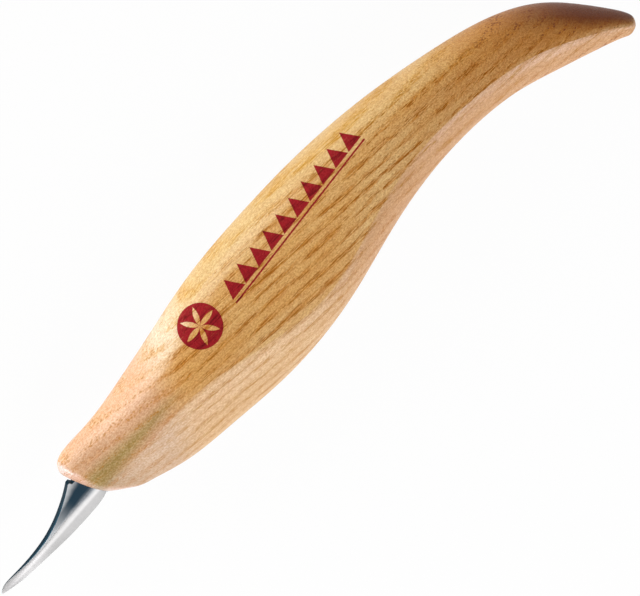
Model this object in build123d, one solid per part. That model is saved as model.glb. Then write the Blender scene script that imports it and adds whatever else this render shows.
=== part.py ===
from build123d import *
from collections import namedtuple
import math
import os

# A detail carving knife: a slim, beak-shaped steel blade bedded in a one-piece ash handle
# whose tail hooks down behind the palm. There are three pieces. The handle has a slot
# mortised into its nose, the blade's tang stands in that slot, and epoxy fills the room
# left round the tang.
#
# The knife is drawn lying on its side: +X runs from the blade's tip to the handle's tail,
# +Y points to the blade's spine, and Z goes across the handle, with 0 on the flat middle
# plane that the blade lies in. X is 0 just behind the handle's front. At the end every
# piece is lifted so that the origin lies under the knife's middle, on the surface below it.
# All lengths are millimetres and all angles are degrees.

# ---- Main sizes ----------------------------------------------------------------------------
HANDLE_LENGTH = 135.0  # along X, from the nose's front to the rounding of the tail
HANDLE_WIDTH = 19.6    # across, on the broad palm: what a 20 mm blank leaves once it is sanded
STOCK = 2.4            # thickness of the steel strip

# ---- Handle: stations of the carved form ---------------------------------------------------
# Each station is a flat section across the handle. x and y place its middle, lean turns it
# clockwise about Z, height and width are its full size, ridge is the share of the height
# that lies below the side's ridge line, and crown is how full the side is above the ridge.
Station = namedtuple("Station", "x y lean height width ridge crown")


def sized(x, y, lean, height, width, ridge, crown):
    """A station whose x and width are shares of the handle's length and width."""
    return Station(x * HANDLE_LENGTH, y, lean, height, width * HANDLE_WIDTH, ridge, crown)


# The nose is square at the front until it is rounded, and the tail stops where its end starts
# to round.
NOSE = sized(0.0090, 0.14, -23.7, 11.35, 0.439, 0.36, 0.80)
NECK = sized(0.0370, -0.75, -20.0, 15.50, 0.520, 0.42, 0.80)
BODY_STATIONS = [
    sized(0.0689, -1.21, -9.7, 16.60, 0.602, 0.45, 0.80),  # lip behind the nose
    sized(0.1259, -1.62, -2.9, 19.40, 0.786, 0.52, 0.80),  # finger scoop
    sized(0.2074, -1.15, -4.8, 22.80, 0.959, 0.55, 0.90),  # flare
    sized(0.3111, 0.21, -5.8, 26.80, 1.000, 0.41, 0.95),   # belly
    sized(0.4296, 2.29, -7.7, 26.70, 1.000, 0.27, 0.95),   # palm
    sized(0.5556, 4.90, -6.7, 22.60, 0.949, 0.31, 0.95),   # crest
    sized(0.6667, 5.64, 0.0, 18.70, 0.857, 0.38, 0.92),    # waist
    sized(0.7630, 4.66, 8.7, 16.10, 0.765, 0.40, 0.90),    # wrist
    sized(0.8370, 2.67, 18.5, 14.90, 0.684, 0.42, 0.88),   # start of the hook
    sized(0.8963, -0.68, 30.5, 13.30, 0.592, 0.44, 0.85),  # bend
    sized(0.9474, -5.25, 41.0, 9.30, 0.449, 0.48, 0.80),   # tail
    sized(0.9756, -7.95, 42.0, 6.50, 0.327, 0.50, 0.75),   # beak
]
TAIL = sized(0.9937, -10.03, 46.0, 4.50, 0.235, 0.50, 0.65)

RIDGE_ABOVE = 0.16     # ease of the curve above the ridge, as a share of the height
RIDGE_BELOW = 0.09     # ease of the curve below it: the smaller, the crisper the ridge
KEEL_FULLNESS = 0.50   # how broad the rounded underside is, as a share of the half width
NOSE_ROUND = 2.9       # rounding over the top and sides of the front
TAIL_ROUND = 1.75      # how far the tail's rounded end stands past its last station
TAIL_TURN = 12.0       # how far the taper has turned in already where that end starts
ROUND_STEPS = 4        # stations that each rounding is carried over

# ---- Blade: stations from the tip to the root ----------------------------------------------
# spine and edge are heights (Y), thick is the thickness at the spine, and flat is the share
# of the height below the spine that the grind leaves flat.
BladeStation = namedtuple("BladeStation", "x spine edge thick flat")

BLADE_STATIONS = [
    BladeStation(-24.1, -5.02, -5.30, 0.12, 0.10),       # tip
    BladeStation(-22.0, -4.15, -5.74, 0.30, 0.10),       # clipped point
    BladeStation(-18.6, -4.09, -6.12, 0.90, 0.10),
    BladeStation(-14.6, -3.82, -6.24, 1.65, 0.10),
    BladeStation(-10.2, -2.95, -6.31, 2.20, 0.14),
    BladeStation(-6.4, -1.49, -6.27, STOCK, 0.28),       # the hollow of the spine
    BladeStation(-2.7, 0.52, -6.04, STOCK, 0.45),
    BladeStation(0.3, 2.70, -5.74, STOCK, 0.58),         # spine runs on above the shoulder
    BladeStation(3.4, 4.90, -4.85, STOCK, 0.70),         # the edge has run up to the chin
]
GRIND_BELLY = 0.28     # how convex the grind is
EDGE_LAND = 0.06       # flat left at the cutting edge
SPINE_EASE = 0.16      # broken corner along the spine, on full stock

# ---- Tang, slot and bond -------------------------------------------------------------------
SHOULDER_TOP = 1.70    # height at which the spine's curve is cut off
SHOULDER_X = -0.35     # where it is cut down to the tang, just clear of the wood
TANG_TOP = 1.20        # height of the tang's upper edge
TANG_FOOT = -4.70      # height of its lower edge
PLUNGE_X = 6.0         # where the grind has run out and the full tang begins
TANG_LENGTH = 30.0     # from there to its end
TANG_TAPER = 0.50      # the tang's end is this much lower at the top, and higher at the foot
NOTCH_COUNT = 3        # pairs of notches that key the tang into the epoxy
NOTCH_PITCH = 8.0
NOTCH_FIRST = 5.0      # from the plunge to the first pair
NOTCH_RADIUS = 0.9
TANG_END_ROUND = 1.2
SIDE_GAP = 0.15        # epoxy on each side of the tang
EDGE_GAP = 0.30        # epoxy above it
FOOT_GAP = 0.45        # epoxy below it, which clears the grind's run-out
END_GAP = 2.0          # room past the tang's end
BOND_SETBACK = 0.5     # the epoxy stops this far behind the front


def section_plane(station):
    """Plane of a handle station: local X goes across the handle, local Y up it."""
    lean = math.radians(station.lean)
    along = (math.cos(lean), -math.sin(lean), 0)
    return Plane(origin=(station.x, station.y, 0), x_dir=(0, 0, -1), z_dir=along)


def handle_section(station):
    """Closed outline of a station: a crowned side, a soft ridge and a bevel to the keel."""
    half = station.width / 2
    crest = station.height / 2
    ridge = (station.ridge - 0.5) * station.height
    above = ridge + RIDGE_ABOVE * station.height
    below = ridge - RIDGE_BELOW * station.height
    shoulder = station.crown * half
    keel = KEEL_FULLNESS * half
    outline = [
        Bezier((0, crest), (shoulder, crest), (half, above), (half, ridge)),
        Bezier((half, ridge), (half, below), (keel, -crest), (0, -crest)),
        Bezier((0, -crest), (-keel, -crest), (-half, below), (-half, ridge)),
        Bezier((-half, ridge), (-half, above), (-shoulder, crest), (0, crest)),
    ]
    return section_plane(station) * make_face(outline)


def between(first, second, share):
    """The station that lies at a share of the way from the first to the second."""
    return Station(*(a + share * (b - a) for a, b in zip(first, second)))


def nose_stations():
    """Stations that carry a quarter-round over the front's top and sides, not its chin."""
    reach = math.hypot(NECK.x - NOSE.x, NECK.y - NOSE.y)
    stations = []
    for step in range(ROUND_STEPS + 1):
        turn = math.radians(90 * (1 - step / ROUND_STEPS))
        depth = NOSE_ROUND * (1 - math.sin(turn))
        inset = NOSE_ROUND * (1 - math.cos(turn))
        full = between(NOSE, NECK, depth / reach)
        lean = math.radians(full.lean)
        height = full.height - inset
        stations.append(full._replace(
            x=full.x - inset / 2 * math.sin(lean),
            y=full.y - inset / 2 * math.cos(lean),
            height=height,
            width=full.width - 2 * inset,
            ridge=full.ridge * full.height / height,
        ))
    return stations


def tail_stations():
    """Stations that close the tail in a ball-like end, which carries on from the taper."""
    lean = math.radians(TAIL.lean)
    start = math.radians(TAIL_TURN)
    stations = []
    for step in range(ROUND_STEPS):
        turn = start + (math.pi / 2 - start) * step / ROUND_STEPS
        depth = TAIL_ROUND * (math.sin(turn) - math.sin(start)) / (1 - math.sin(start))
        share = math.cos(turn) / math.cos(start)
        stations.append(TAIL._replace(
            x=TAIL.x + depth * math.cos(lean),
            y=TAIL.y - depth * math.sin(lean),
            height=TAIL.height * share,
            width=TAIL.width * share,
        ))
    return stations


def carved_form():
    """The handle before its slot is cut."""
    stations = nose_stations() + [NECK] + BODY_STATIONS + tail_stations()
    return loft([handle_section(station) for station in stations])


def slot_block():
    """The mortise for the tang, from ahead of the nose to past the tang's end."""
    top = TANG_TOP + EDGE_GAP
    foot = TANG_FOOT - FOOT_GAP
    start = BLADE_STATIONS[0].x
    end = PLUNGE_X + TANG_LENGTH + END_GAP
    block = Box(end - start, top - foot, STOCK + 2 * SIDE_GAP)
    return Pos((start + end) / 2, (top + foot) / 2, 0) * block


def blade_section(station):
    """Outline across the blade: spine, broken corners, flats, convex grind and edge land."""
    half = station.thick / 2
    ease = SPINE_EASE * station.thick / STOCK
    height = station.spine - station.edge
    shoulder = station.spine - ease - station.flat * (height - ease)
    belly = shoulder - GRIND_BELLY * (shoulder - station.edge)
    land = EDGE_LAND / 2
    outline = [
        Line((-half + ease, station.spine), (half - ease, station.spine)),
        Line((half - ease, station.spine), (half, station.spine - ease)),
        Line((half, station.spine - ease), (half, shoulder)),
        Bezier((half, shoulder), (half, belly), (land, station.edge)),
        Line((land, station.edge), (-land, station.edge)),
        Bezier((-land, station.edge), (-half, belly), (-half, shoulder)),
        Line((-half, shoulder), (-half, station.spine - ease)),
        Line((-half, station.spine - ease), (-half + ease, station.spine)),
    ]
    across = Plane(origin=(station.x, 0, 0), x_dir=(0, 0, -1), z_dir=(1, 0, 0))
    return across * make_face(outline)


def tang():
    """The flat tang: tapered, round-ended and notched along both edges."""
    end = PLUNGE_X + TANG_LENGTH
    profile = Polygon(
        (BLADE_STATIONS[-1].x, TANG_FOOT),
        (PLUNGE_X, TANG_FOOT),
        (end, TANG_FOOT + TANG_TAPER),
        (end, TANG_TOP - TANG_TAPER),
        (PLUNGE_X, TANG_TOP),
        (BLADE_STATIONS[-1].x, TANG_TOP),
        align=None,
    )
    profile = fillet(profile.vertices().sort_by(Axis.X)[-2:], TANG_END_ROUND)
    for pair in range(NOTCH_COUNT):
        x = PLUNGE_X + NOTCH_FIRST + pair * NOTCH_PITCH
        drop = TANG_TAPER * (x - PLUNGE_X) / TANG_LENGTH
        for y in (TANG_TOP - drop, TANG_FOOT + drop):
            profile -= Pos(x, y) * Circle(NOTCH_RADIUS)
    return extrude(profile, STOCK / 2, both=True)


def above_shoulder():
    """What is cut away above the shoulder and, behind it, above the tang."""
    tip, root = BLADE_STATIONS[0], BLADE_STATIONS[-1]
    drop = SHOULDER_TOP - TANG_TOP
    clear = root.spine + STOCK
    profile = Polygon(
        (tip.x, SHOULDER_TOP),
        (SHOULDER_X, SHOULDER_TOP),
        (SHOULDER_X + drop / 2, TANG_TOP),
        (PLUNGE_X, TANG_TOP),
        (PLUNGE_X, clear),
        (tip.x, clear),
        align=None,
    )
    return extrude(profile, STOCK, both=True)


def make_blade():
    """The ground blade, its spine cut down to a shoulder at the tang, and the tang."""
    ground = loft([blade_section(station) for station in BLADE_STATIONS])
    return (ground - above_shoulder()) + tang()


form = carved_form()
slot = slot_block()
blade = make_blade()
handle = form - slot
bond_front = section_plane(NOSE).offset(BOND_SETBACK)
tang_bond = split(form & slot, bisect_by=bond_front, keep=Keep.TOP) - blade

pieces = {"handle": handle, "blade": blade, "tang_bond": tang_bond}
box = Compound(children=[Compound(piece.wrapped) for piece in pieces.values()]).bounding_box()
to_origin = Pos(-box.center().X, -box.center().Y, -box.min.Z)

os.makedirs("parts", exist_ok=True)
for name, piece in pieces.items():
    export_step(to_origin * piece, f"parts/{name}.step")
print("size of the knife, mm:", box.size)
print("moved by, mm:", to_origin.position)
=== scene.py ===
# %% [markdown]
# # A detail carving knife
# The knife is a slim ground blade bedded in one piece of ash, which is carved to fill the
# palm, rubbed smooth and lacquered. Its solids are already modelled, so this lesson is about
# its surfaces: open-grained wood under a satin lacquer, a red rubber-stamped mark, and bright
# steel with dark reflections painted on near the spine and the handle.
#
# Everything is in metres. +X runs from the blade's tip to the handle's tail, +Y to the
# blade's spine, and +Z up, across the handle, because the knife lies on its side.

import bmesh
import bpy
from math import cos, pi, radians, sin
from mathutils import Matrix, Vector


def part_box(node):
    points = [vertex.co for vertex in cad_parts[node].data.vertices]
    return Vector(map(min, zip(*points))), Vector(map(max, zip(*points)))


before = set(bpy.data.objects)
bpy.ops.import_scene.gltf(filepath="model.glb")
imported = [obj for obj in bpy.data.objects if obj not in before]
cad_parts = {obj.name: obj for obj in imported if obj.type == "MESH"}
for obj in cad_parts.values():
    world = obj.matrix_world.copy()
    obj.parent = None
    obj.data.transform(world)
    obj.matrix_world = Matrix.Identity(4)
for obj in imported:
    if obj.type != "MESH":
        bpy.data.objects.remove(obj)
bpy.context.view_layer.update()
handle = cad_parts["handle"]
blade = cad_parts["blade"]
tang_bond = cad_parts["tang_bond"]
scene = bpy.context.scene
MM = 0.001

# %% [markdown]
# ## Where things are
# Grain, mark and temper colours all need places on the knife. They are measured in
# millimetres from one point, the foremost point of the handle on the knife's middle plane,
# because that is how a maker lays out a handle: from the end where the blade goes in.

# %% Find the datum point
handle_low, handle_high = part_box("handle")
blade_low, blade_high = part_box("blade")
middle_z = (handle_low.z + handle_high.z) / 2
DATUM = Vector((handle_low.x, 0, middle_z))
handle_length, handle_depth, handle_width = [side / MM for side in handle_high - handle_low]
print(f"handle {handle_length:.1f} mm long, {handle_width:.1f} mm across")
blade_length, blade_clear = (blade_high.x - blade_low.x) / MM, (handle_low.x - blade_low.x) / MM
print(f"blade {blade_length:.1f} mm long, of which {blade_clear:.1f} mm stand clear of the handle")

# %% [markdown]
# ## Shader sums in plain Python
# A material is a graph of nodes, and long sums make a graph hard to read. `Wire` wraps one
# output socket and overloads the operators, so that `1 - mask` adds a Subtract node. `step`
# is the most used of its methods: it turns a slope into a mask with soft edges.

# %% Wire
class Wire:
    """One output socket that Python can do sums with."""

    def __init__(self, finish, socket):
        self.finish = finish
        self.socket = socket

    def maths(self, operation, *values):
        return self.finish.maths(operation, *values)

    def __add__(self, other):
        return self.maths("ADD", self, other)

    def __sub__(self, other):
        return self.maths("SUBTRACT", self, other)

    def __rsub__(self, other):
        return self.maths("SUBTRACT", other, self)

    def __mul__(self, other):
        return self.maths("MULTIPLY", self, other)

    def __truediv__(self, other):
        return self.maths("DIVIDE", self, other)

    def __rtruediv__(self, other):
        return self.maths("DIVIDE", other, self)

    def __pow__(self, other):
        return self.maths("POWER", self, other)

    __radd__ = __add__
    __rmul__ = __mul__

    def abs(self):
        return self.maths("ABSOLUTE", self)

    def fract(self):
        return self.maths("FRACT", self)

    def root(self):
        return self.maths("SQRT", self)

    def least(self, other):
        return self.maths("MINIMUM", self, other)

    def most(self, other):
        return self.maths("MAXIMUM", self, other)

    def step(self, start, end):
        """0 before start, 1 after end, and an eased change between; start may be the larger."""
        low, high = min(start, end), max(start, end)
        eased = self.finish.node("ShaderNodeMapRange", {"interpolation_type": "SMOOTHSTEP"},
                                 {"Value": self, "From Min": low, "From Max": high})
        return eased if start < end else 1 - eased


print("operators:", sorted(name for name in vars(Wire) if name.startswith("__r")))

# %% [markdown]
# `Finish` holds one material. Its `node` method adds any node from its kind, its settings,
# which are set first, and what goes into its sockets. The rest are short names for the nodes
# that wood and steel need most. `clouds` and `cells` take the size of their blobs in
# millimetres, so a long and narrow size gives grain.

# %% Finish
class Finish:
    """A material, and the ways to add to its graph."""

    def __init__(self, name):
        self.material = bpy.data.materials.new(name)
        self.material.use_nodes = True
        self.tree = self.material.node_tree
        self.shader = self.tree.nodes["Principled BSDF"]

    def node(self, kind, settings=None, sockets=None, out=0):
        """Adds a node and returns one of its outputs."""
        made = self.tree.nodes.new(kind)
        for name, value in (settings or {}).items():
            setattr(made, name, value)
        self.fill(made, sockets or {})
        return Wire(self, made.outputs[out])

    def fill(self, node, sockets):
        """Sets a node's sockets to values, or links wires into them."""
        for name, value in sockets.items():
            if isinstance(value, Wire):
                self.tree.links.new(value.socket, node.inputs[name])
            else:
                node.inputs[name].default_value = value

    def maths(self, operation, *values):
        return self.node("ShaderNodeMath", {"operation": operation}, dict(enumerate(values)))

    def mix(self, share, first, second, blend="MIX"):
        """Blends two colours: sockets 0, 6 and 7 are the share and the colours."""
        return self.node("ShaderNodeMix", {"data_type": "RGBA", "blend_type": blend},
                         {0: share, 6: first, 7: second}, out=2)

    def split(self, vector):
        """The three parts of a vector."""
        made = self.tree.nodes.new("ShaderNodeSeparateXYZ")
        self.fill(made, {0: vector})
        return [Wire(self, output) for output in made.outputs]

    def place(self):
        """Each point's place in millimetres from the datum, as x, y and z wires."""
        spot = self.node("ShaderNodeTexCoord", out=3)
        moved = self.node("ShaderNodeVectorMath", {"operation": "SUBTRACT"}, {0: spot, 1: DATUM})
        scaled = self.node("ShaderNodeVectorMath", {"operation": "SCALE"}, {0: moved, "Scale": 1 / MM})
        return self.split(scaled)

    def facing(self):
        """The way each point faces: ahead along X, upward to the spine, and sideways along Z."""
        return self.split(self.node("ShaderNodeNewGeometry", out=1))

    def stretched(self, spot, length, height, depth=None):
        """A place measured in blobs of a size in millimetres; depth is as height unless given."""
        x, y, z = spot
        parts = {0: x / length, 1: y / height, 2: z / (depth or height)}
        return self.node("ShaderNodeCombineXYZ", None, parts)

    def clouds(self, spot, length, height, depth=None, detail=2.0, roughness=0.5):
        """Soft noise, from 0 to 1, mostly near a half."""
        return self.node("ShaderNodeTexNoise", None, {
            "Vector": self.stretched(spot, length, height, depth),
            "Scale": 1.0, "Detail": detail, "Roughness": roughness})

    def cells(self, spot, length, height):
        """Distance to the nearest of many scattered points."""
        return self.node("ShaderNodeTexVoronoi", None, {
            "Vector": self.stretched(spot, length, height), "Scale": 1.0})

    def bump(self, height, depth, strength):
        """Turns a height from 0 to 1 into relief that is depth millimetres deep."""
        return self.node("ShaderNodeBump", None, {
            "Height": height, "Distance": depth * MM, "Strength": strength})

    def cover(self, piece, **sockets):
        """Sets the shader's sockets, where _ stands for a space, and puts the finish on a piece."""
        self.fill(self.shader, {name.replace("_", " "): value for name, value in sockets.items()})
        piece.data.materials.clear()
        piece.data.materials.append(self.material)
        self.count("on " + piece.name)

    def count(self, what):
        print(f"{self.material.name}, {what}: {len(self.tree.nodes)} nodes")


def paint(red, green, blue):
    """A colour as a paint chart gives it, 0 to 255, turned into the light it sends back."""
    def light(level):
        level /= 255
        return level / 12.92 if level <= 0.04045 else ((level + 0.055) / 1.055) ** 2.4
    return (light(red), light(green), light(blue), 1.0)


print("mid grey:", [round(level, 3) for level in paint(128, 128, 128)])

# %% [markdown]
# ## Ash wood
# The handle is cut from ash with the grain along X. Each year the tree lays down a row of wide
# open tubes, which take up the oil and go amber, and then dense, pale fibre. If the years are
# made as a solid pattern in space, they run in streaks along a straight side and spread into
# patches over the rounded back by themselves, and nothing is unwrapped. They lie nearly flat,
# one above the other along Y, dip a little towards the tail, curve, and wander.

# %% Wood: years
RING = 2.0             # millimetres from one year to the next
RING_DIP = 0.055       # how far they dip in each millimetre towards the tail
RING_CURVE = 0.004     # how fast they bend away from the middle plane
wood = Finish("lacquered_ash")
spot = x, y, z = wood.place()
drift = wood.clouds(spot, 70, 15, 14, detail=1.0)
waver = wood.clouds(spot, 15, 2.5, 4)
year = (y + x * RING_DIP + z * z * RING_CURVE + drift * 4.0 + waver * 0.9) / RING
season = year.fract()
early = season.step(0.0, 0.16) * season.step(0.74, 0.30)
wood.count(f"about {handle_depth / RING:.0f} years deep")

# %% [markdown]
# Inside the amber part of a year the colour is never even: it is made of long threads, some
# saturated and some nearly as pale as the rest, and the row itself fades in and out. Two
# noises do this, one stretched far along the grain and one in broad patches.

# %% Wood: threads and patches
patchy = wood.clouds(spot, 8, 1.5, detail=3.0, roughness=0.6).step(0.32, 0.58)
thread = wood.clouds(spot, 4.6, 0.22, detail=3.0, roughness=0.62)
amber = early * (0.16 + 0.84 * patchy) * thread.step(0.30, 0.58)
wood.count("with threads")

# %% [markdown]
# The tubes themselves are the thin brown lines: long and crisp on the sides, where the knife
# cuts along them. Where the surface cuts across the grain, as in the scooped nose and over
# the tail, they show as small pits, so a rounder set takes over there, by how far the surface
# faces along X. A fine grit over everything is the fibre that sanding raised.

# %% Wood: tubes
ahead, upward, sideways = wood.facing()
nose = (x - (y * 0.35)).step(30, 19)
scoop = nose * upward.step(-0.28, 0.10)
cut_across = ahead.abs().step(0.10, 0.24).most(scoop)
grooves = wood.clouds(spot, 3.2, 0.14, roughness=0.6)
spindles = wood.cells(spot, 2.8, 0.24)
lines = grooves.step(0.55, 0.62) * (0.08 + 0.92 * amber)
dashes = (0.13 + 0.36 * amber - spindles).step(-0.03, 0.04)
specks = wood.cells(spot, 0.80, 0.42)
pits = (0.14 + 0.30 * early * patchy - specks).step(-0.06, 0.10)
pore = lines.most(dashes) * (1 - cut_across) + pits * cut_across * 0.8
grit = wood.clouds(spot, 0.46, 0.30, roughness=0.6).step(0.34, 0.66)
wood.count("with tubes")

# %% [markdown]
# Colour follows the cut as well. The broad sides are the yellowest. The rounded back is nearly
# cream, partly its own colour and partly a painted sheen, with a painted highlight behind the
# nose. The flat below the ridge is paler and pinker, also partly a painted sheen. The scooped
# nose is rosy, painted lighter on top and darker on its flanks as light and shade, its chin is
# greyer, and its rim is pink, with a painted highlight near the rim's top corner.

# %% Wood: colours by region
CREAM = paint(247, 212, 148)
STRAW = paint(234, 184, 110)
BACK_CREAM_AND_SHEEN = paint(243, 217, 158)
BACK_HIGHLIGHT = paint(255, 246, 226)
BEVEL_PALE_AND_SHEEN = paint(250, 216, 168)
KEEL_PALE_AND_SHEEN = paint(236, 190, 142)
ROSE_SHADED = paint(224, 184, 148)
ROSE_LIT = paint(248, 205, 169)
CHIN = paint(232, 204, 172)
CHIN_FRONT = paint(212, 184, 152)
PINK = paint(246, 206, 184)
RIM_HIGHLIGHT = paint(255, 240, 238)

back = upward.step(0.45, 0.92)
bevel = upward.step(0.10, -0.28)
rim = ahead.step(-0.30, -0.60)
tone = wood.mix(wood.clouds(spot, 24, 6).step(0.32, 0.70), STRAW, CREAM)
# The back's cream is partly its own colour and partly a painted sheen.
tone = wood.mix(back * (0.85 - x.step(56, 104) * 0.65), tone, BACK_CREAM_AND_SHEEN)
# Painted highlight: a pale patch on the back just behind the nose.
tone = wood.mix(back * x.step(17, 27) * x.step(42, 31) * 0.8, tone, BACK_HIGHLIGHT)
# The flat below the ridge is paler, partly its own colour and partly a painted sheen.
tone = wood.mix(bevel * 0.9, tone, wood.mix(x.step(48, 76), BEVEL_PALE_AND_SHEEN, KEEL_PALE_AND_SHEEN))
# Painted light and shade: the nose is lighter on top and darker on its flanks.
rosy_lit_and_shaded = wood.mix(upward.step(0.35, 0.85), ROSE_SHADED, ROSE_LIT)
chin = wood.mix(x.step(15, 5), CHIN, CHIN_FRONT)
tone = wood.mix(nose, tone, wood.mix(bevel, rosy_lit_and_shaded, chin))
tone = wood.mix(rim, tone, PINK)
# Painted highlight near the top corner of the nose's rim.
tone = wood.mix(rim * upward.step(0.04, 0.26) * sideways.step(0.1, 0.4) * 0.9, tone, RIM_HIGHLIGHT)
wood.count("with regions")

# %% [markdown]
# Stains and painted light lie over that. The amber of the years is deepest on the sides and
# turns golden on the back. A painted olive shade lies along the foot of the scoop, and a streaky
# painted highlight runs under the hook. Over the hooked tail a darker gold is painted shade, and
# the brown over its top, which is nearly end grain, is partly its own darker colour and partly
# painted shade.

# %% Wood: stains and painted light
LEAN = radians(20)     # how far the broad sides lean back from the ridge
HONEY = paint(212, 136, 8)
GOLD = paint(236, 182, 66)
OLIVE_SHADE = paint(170, 152, 88)
CREST_HIGHLIGHT = paint(252, 216, 188)
TAIL_GOLD_SHADE = paint(206, 136, 54)
TAIL_BROWN_AND_SHADE = paint(134, 72, 42)

honey = amber * (0.74 - bevel * 0.33 - back * 0.14) * (1 - nose * (0.6 - bevel * 0.3))
tone = wood.mix(honey, tone, wood.mix(back, HONEY, GOLD))
# Painted shade: an olive band along the foot of the scoop.
off_scoop_shade = (y * cos(LEAN) - z.abs() * sin(LEAN) + 3.85 - x * 0.057).abs() + x * 0.075
scoop_shade = off_scoop_shade.step(3.8, 0.9) * x.step(1.5, 4) * x.step(31, 19)
tone = wood.mix(scoop_shade * (0.66 + 0.30 * grit), tone, OLIVE_SHADE)
# Painted highlight: a pale streaky band under the hook.
crest_highlight = upward.step(-0.05, -0.22) * upward.step(-0.66, -0.40) * x.step(84, 100)
streaky = wood.clouds(spot, 14, 0.9).step(0.36, 0.60)
tone = wood.mix(crest_highlight * (0.10 + 0.50 * streaky), tone, CREST_HIGHLIGHT)
hook = x.step(70, 122)
# Painted shade: a darker gold over the upper side of the hook, reaching the back only near the tail.
below_back = 1 - upward.step(0.28, 0.62) * x.step(116, 98)
tone = wood.mix(hook * upward.step(-0.16, 0.10) * below_back * 0.76, tone, TAIL_GOLD_SHADE)
# The tail's top is painted brown: partly its own darker end grain and partly painted shade.
brown_and_shade = x.step(112, 129) * (upward + x.step(116, 132) * 0.35).step(0.14, 0.68)
tone = wood.mix(brown_and_shade * 0.95, tone, TAIL_BROWN_AND_SHADE)
wood.count("with stains")

# %% [markdown]
# Last come the threads, the grit and the tubes. The first two only darken what is there, so
# they are multiplied in. The tubes have a brown of their own: golden where the wood is pale,
# and dark on the tail, where anything lighter would look like dust.

# %% Wood: grain
THREAD_SHADE = paint(222, 166, 84)
GRIT_SHADE = paint(204, 160, 104)
TUBE = paint(162, 92, 2)
TUBE_GOLD = paint(206, 148, 52)
PIT = paint(182, 120, 40)

tone = wood.mix(thread.step(0.35, 0.70) * 0.26, tone, THREAD_SHADE, "MULTIPLY")
tone = wood.mix(grit * 0.46, tone, GRIT_SHADE, "MULTIPLY")
tube_along = wood.mix(back.most(bevel * 0.8), TUBE, TUBE_GOLD)
tube_across = wood.mix(hook, PIT, TAIL_BROWN_AND_SHADE)
tube = wood.mix(cut_across, tube_along, tube_across)
tone = wood.mix(pore * (0.8 - bevel * 0.25 + x.step(66, 86) * 0.2), tone, tube)
wood.count("with grain")

# %% [markdown]
# ## The red mark
# Such handles carry a printed mark on one side. A generic one stands here: a red roundel with
# the six-petalled rosette that carvers lay out with a compass, and a border of chip-cut
# triangles, all in one tilted line. It is ink in the surface, so it is a mask in the wood's own
# colour and not a piece. A stamp comes down square to the rounded side, so the mark is laid
# out on a plane that leans with it.

# %% Mark: layout
MARK_X, MARK_Y = 38.0, 3.7     # the roundel's middle, on the stamp
MARK_CLIMB = radians(8)        # how steeply the line climbs towards the tail

stamp_y = y * cos(LEAN) - z * sin(LEAN)
along = (x - MARK_X) * cos(MARK_CLIMB) + (stamp_y - MARK_Y) * sin(MARK_CLIMB)
up = (stamp_y - MARK_Y) * cos(MARK_CLIMB) - (x - MARK_X) * sin(MARK_CLIMB)
ragged = (wood.clouds(spot, 0.25, 0.12, 1.0, detail=1.0) - 0.5) * 0.16


def inked(depth_inside):
    """1 where a distance inside an edge is positive, with the slightly ragged edge of a stamp."""
    return (depth_inside + ragged).step(-0.04, 0.06)


wood.count("with the stamp laid out")

# %% [markdown]
# Every petal is the lens between two circles. Folding the angle onto one sixth of a turn
# draws all six at once, from the distance to one circle.

# %% Mark: roundel
ROUNDEL = 4.3                  # radius
PETAL = 3.7                    # length of a petal, and the radius of the circles that bound it

radius = (along * along + up * up).root()
sixth = wood.maths("ARCTAN2", up, along) * (3 / pi)
folded = ((sixth + 0.5).fract() - 0.5) * (pi / 3)
beside = radius * wood.maths("COSINE", folded) - PETAL / 2
above_circle = radius * wood.maths("SINE", folded).abs() + PETAL * sin(radians(60))
rosette = inked(PETAL - (beside ** 2 + above_circle ** 2).root())
roundel = inked(ROUNDEL - radius) * (1 - rosette)
wood.count("with the roundel")

# %% [markdown]
# The row repeats one triangle: the fraction of the place along the row is the place in a
# single pitch, and two more edges cut the row off at its ends.

# %% Mark: the row of triangles
ROW_START, ROW_PITCH, ROW_COUNT, ROW_HEIGHT = 7.4, 3.8, 10, 3.7
RULE = 0.35                    # thickness of the line under the row
RULE_GAP = 0.75                # from the triangles' feet to the middle of that line

place_in_row = (along - ROW_START) / ROW_PITCH
from_middle = (place_in_row.fract() - 0.5).abs() * ROW_PITCH
height_in_row = up + ROW_HEIGHT / 2
triangle = inked((ROW_HEIGHT - height_in_row) * 0.45 - from_middle * 0.9) * inked(height_in_row)
in_row = inked(place_in_row * ROW_PITCH) * inked((ROW_COUNT - place_in_row) * ROW_PITCH)
rule = inked(RULE / 2 - (up + (ROW_HEIGHT / 2 + RULE_GAP)).abs())
printed_side = z.step(0.5, 1.5)
mark = (roundel + (triangle + rule) * in_row).least(1) * printed_side
wood.count(f"with {ROW_COUNT} triangles")

# %% [markdown]
# The ink is thin. The tubes and the grit show through it as a deeper red, and it is a little
# worn.

# %% Mark: ink over grain
INK = paint(162, 2, 30)
INK_DEEP = paint(112, 4, 20)
worn = wood.clouds(spot, 1.1, 0.5, detail=3.0, roughness=0.6)
ink = wood.mix(pore * 0.6 + amber * 0.25 + grit * 0.30, INK, INK_DEEP)
tone = wood.mix(mark * (0.98 - 0.10 * worn.step(0.55, 0.8)), tone, ink)
wood.count("with ink")

# %% [markdown]
# The lacquer is thin, so it sinks into the tubes and softens them without filling them. One
# bump carries both, shallow enough to stay wood and deep enough to break up the shine. The
# wood itself hardly shines, and the coat over it does, so the wood has a low index and the
# coat a high one. The ink is dull, so the gloss leaves it out, and the rubbed rim has more.

# %% Wood: relief and lacquer
relief = wood.bump((1 - pore) * 0.45 + thread * 0.10 + grit * 0.8, 0.08, 0.8)
wood.cover(
    handle,
    Base_Color=tone,
    Roughness=0.52 + pore * 0.15 + mark * 0.25,
    Normal=relief,
    IOR=1.25,
    Coat_Weight=(0.24 + rim * 0.6) * (1 - mark) * (1 - pore * 0.5),
    Coat_Roughness=0.22,
    Coat_IOR=1.7,
)

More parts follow.
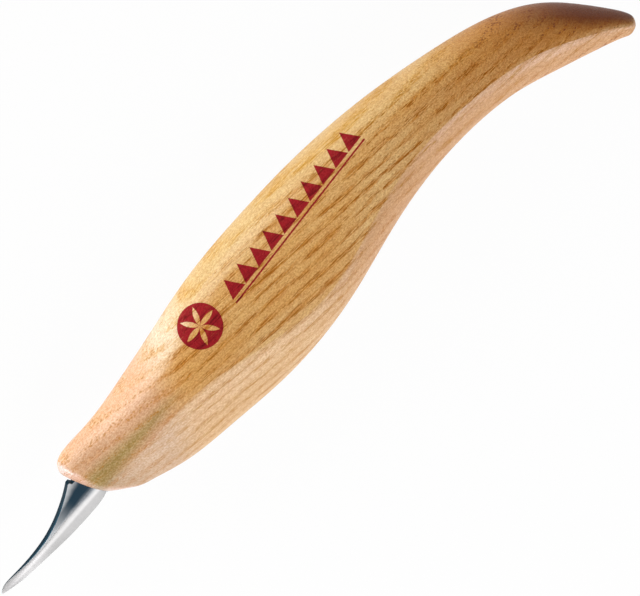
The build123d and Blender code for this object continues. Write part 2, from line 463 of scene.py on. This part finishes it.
# %% [markdown]
# ## Steel
# The blade is hardened spring steel. A dark blue-black reflection is painted on the spine and
# its broken corners, and on the sides near the handle, where it fades out towards the edge.
# Elsewhere it is bright ground steel with fine lines across the blade from the wheel, and the
# point is painted brighter, as a painted reflection. A band along the edge is a shade greyer.
#
# Metal reflects almost everything at a glancing angle, and that would turn the dark spine
# white next to a white floor. A specular tint of about a half holds it back.

# %% Steel
SKIN_DARK_REFLECTION = paint(4, 52, 72)
SPINE_DARK_REFLECTION = paint(4, 42, 56)
GROUND_LOW = paint(143, 144, 144)
GROUND_HIGH = paint(153, 153, 152)
FLAT_BRIGHT = paint(222, 226, 228)
POINT_REFLECTION_BRIGHT = paint(190, 190, 190)
EDGE_BAND_GREY = paint(206, 206, 206)

steel = Finish("ground_steel")
spot = x, y, z = steel.place()
ahead, upward, sideways = steel.facing()
wheel = steel.clouds(spot, 0.30, 3)
cloudy = steel.clouds(spot, 2.4, 1.2, detail=3.0, roughness=0.6)
spine_face = upward.step(0.25, 0.50)
# Painted dark reflection on the sides near the handle, fading towards the edge and the point.
off_dark_reflection = (y + 2.35 - x * 0.22 + (cloudy - 0.5) * 0.6).abs() / (2.0 + x * 0.18).most(0.3)
dark_reflection = off_dark_reflection.step(1.25, 0.35) * x.step(-11, -2)
flat_side = sideways.abs().step(0.97, 0.998) * upward.step(-0.12, 0.0)
point = x.step(-10, -19)
# A band along the edge is made a shade greyer.
edge_band = (y + 5.3 - x * 0.082).step(0.35, -0.35)
tone = steel.mix(cloudy, GROUND_LOW, GROUND_HIGH)
tone = steel.mix(flat_side, tone, FLAT_BRIGHT)
# The point is painted brighter: a painted reflection.
tone = steel.mix(point, tone, POINT_REFLECTION_BRIGHT)
tone = steel.mix(edge_band * 0.8, tone, EDGE_BAND_GREY, "MULTIPLY")
tone = steel.mix(dark_reflection * 0.96, tone, SKIN_DARK_REFLECTION)
# Painted dark reflection along the spine and its broken corners.
tone = steel.mix(spine_face * 0.97, tone, SPINE_DARK_REFLECTION)
steel.cover(
    blade,
    Base_Color=tone,
    Metallic=1.0,
    Specular_Tint=(0.48, 0.52, 0.56, 1),
    Roughness=0.38 + wheel * 0.06 + point * 0.10,
    Normal=steel.bump(wheel, 0.003, 0.3),
)

# %% [markdown]
# ## Epoxy
# A line of amber epoxy shows round the tang where it enters the nose. It cures with a glossy
# skin and a few trapped specks.

# %% Epoxy
RESIN_DARK = paint(58, 40, 26)
RESIN_AMBER = paint(112, 78, 44)
resin = Finish("cured_epoxy")
speck = resin.clouds(resin.place(), 0.5, 0.5, detail=3.0, roughness=0.6)
resin.cover(
    tang_bond,
    Base_Color=resin.mix(speck.step(0.4, 0.7), RESIN_DARK, RESIN_AMBER),
    Roughness=0.18 + speck * 0.1,
    Normal=resin.bump(speck, 0.03, 0.4),
    IOR=1.55,
)

# %% [markdown]
# ## Camera
# The knife is seen from above its side, tilted 20 degrees towards the spine so that the top of
# the blade shows, and turned so that it crosses the picture from corner to corner. A long lens
# from nearly half a metre keeps the shape almost free of perspective, as in a catalogue.

# %% Camera
TILT = radians(20)     # from straight above the side, towards the spine
TURN = radians(44)     # the handle's climb across the picture
LENS = 135.0
DISTANCE = 0.45
AIM = Vector((0.0011, -0.0083, middle_z))

across = Vector((1, 0, 0))
above = Vector((0, cos(TILT), -sin(TILT)))
toward = Vector((0, sin(TILT), cos(TILT)))
right = across * cos(TURN) - above * sin(TURN)
top = across * sin(TURN) + above * cos(TURN)

camera = bpy.data.objects.new("camera", bpy.data.cameras.new("camera"))
camera.data.lens = LENS
camera.data.sensor_width = 36
camera.data.clip_start = 0.01
axes = Matrix((right, top, toward)).transposed().to_4x4()
camera.matrix_world = Matrix.Translation(AIM + toward * DISTANCE) @ axes
scene.collection.objects.link(camera)
scene.camera = camera
print("camera at", [round(v, 4) for v in camera.location])

# %% [markdown]
# ## Studio
# Two soft boxes stand low on either side of the picture, the stronger on the left, and nothing
# hangs over the camera. That leaves a soft dark band down the middle of each rounded side and
# picks out the ridge, which is what makes a carved shape readable. A third, small and weak, sits
# beyond the tip and only puts a glint on the rim of the nose.

# %% Lights
ROOM_COLOUR = (0.85, 0.88, 0.92, 1)
ROOM_LEVEL = 0.15


def softbox(name, direction, away, size, power, colour):
    """A square lamp that faces the knife from a direction."""
    lamp = bpy.data.lights.new(name, "AREA")
    lamp.shape = "SQUARE"
    lamp.size = size
    lamp.energy = power
    lamp.color = colour
    lit = bpy.data.objects.new(name, lamp)
    direction = direction.normalized()
    turn = direction.to_track_quat("Z", "Y").to_matrix().to_4x4()
    lit.matrix_world = Matrix.Translation(direction * away) @ turn
    scene.collection.objects.link(lit)
    print(name, [round(v, 3) for v in lit.location])


softbox("key", -right * 0.82 + top * 0.25 + toward * 0.52, 0.6, 0.50, 4.75, (1.0, 0.985, 0.96))
softbox("fill", right * 0.55 - top * 0.75 + toward * 0.24, 0.6, 0.50, 3.2, (1.0, 0.975, 0.98))
softbox("glint", Vector((-0.96, 0.14, 0.22)), 0.5, 0.16, 0.5, (1.0, 0.98, 0.98))

world = bpy.data.worlds.new("studio")
world.use_nodes = True
room = world.node_tree.nodes["Background"].inputs
room["Color"].default_value = ROOM_COLOUR
room["Strength"].default_value = ROOM_LEVEL
scene.world = world
scene.view_settings.view_transform = "Standard"

# %% [markdown]
# The floor is a wide sheet of white paper whose rim sweeps up all round, as a studio cove does,
# so even a view from just above the floor ends in white. It starts as a disc, and its rim is
# pulled out and up along a quarter circle, one narrow band at a time.

# %% Floor and cove
FLOOR_RADIUS = 4.0
COVE_RADIUS = 2.0
COVE_BANDS = 10
FLOOR_DROP = 0.4 * MM  # the paper gives a little under the knife's weight

sweep = bmesh.new()
bmesh.ops.create_circle(sweep, cap_ends=True, segments=96, radius=FLOOR_RADIUS)
reach, height = FLOOR_RADIUS, 0.0
for band in range(1, COVE_BANDS + 1):
    angle = radians(90) * band / COVE_BANDS
    next_reach = FLOOR_RADIUS + COVE_RADIUS * sin(angle)
    next_height = COVE_RADIUS * (1 - cos(angle))
    rim_edges = [edge for edge in sweep.edges if edge.is_boundary]
    pulled = bmesh.ops.extrude_edge_only(sweep, edges=rim_edges)["geom"]
    pulled = [part for part in pulled if isinstance(part, bmesh.types.BMVert)]
    grow = next_reach / reach
    bmesh.ops.scale(sweep, vec=(grow, grow, 1), verts=pulled)
    bmesh.ops.translate(sweep, vec=(0, 0, next_height - height), verts=pulled)
    reach, height = next_reach, next_height
bmesh.ops.translate(sweep, vec=(0, 0, -FLOOR_DROP), verts=sweep.verts)
for face in sweep.faces:
    face.smooth = True
floor = bpy.data.objects.new("floor", bpy.data.meshes.new("floor"))
sweep.to_mesh(floor.data)
sweep.free()
scene.collection.objects.link(floor)
print(f"floor {2 * FLOOR_RADIUS:.0f} m wide, cove {height:.1f} m high, {len(floor.data.polygons)} faces")

# %% [markdown]
# To the camera, and in reflections, most of the paper's white is its own light, so it is even
# from edge to edge. The rest comes from the lamps, so that the knife still casts a soft shadow.

# %% Paper
OWN_LIGHT = 0.965      # share of the white that is the paper's own
paper = Finish("white_paper")
path = paper.tree.nodes.new("ShaderNodeLightPath")
camera_ray, glossy_ray, clear_ray = [
    Wire(paper, path.outputs[name]) for name in ("Is Camera Ray", "Is Glossy Ray", "Is Transmission Ray")]
seen = camera_ray.most(glossy_ray).most(clear_ray)
glow = paper.node("ShaderNodeEmission", None, {"Color": (1, 1, 1, 1), "Strength": 1.0})
sheet = paper.node("ShaderNodeBsdfDiffuse", None, {"Color": (0.88, 0.88, 0.88, 1)})
both = paper.node("ShaderNodeMixShader", None, {0: seen * OWN_LIGHT, 1: sheet, 2: glow})
paper.tree.links.new(both.socket, paper.tree.nodes["Material Output"].inputs["Surface"])
floor.data.materials.append(paper.material)
paper.count("on the floor")
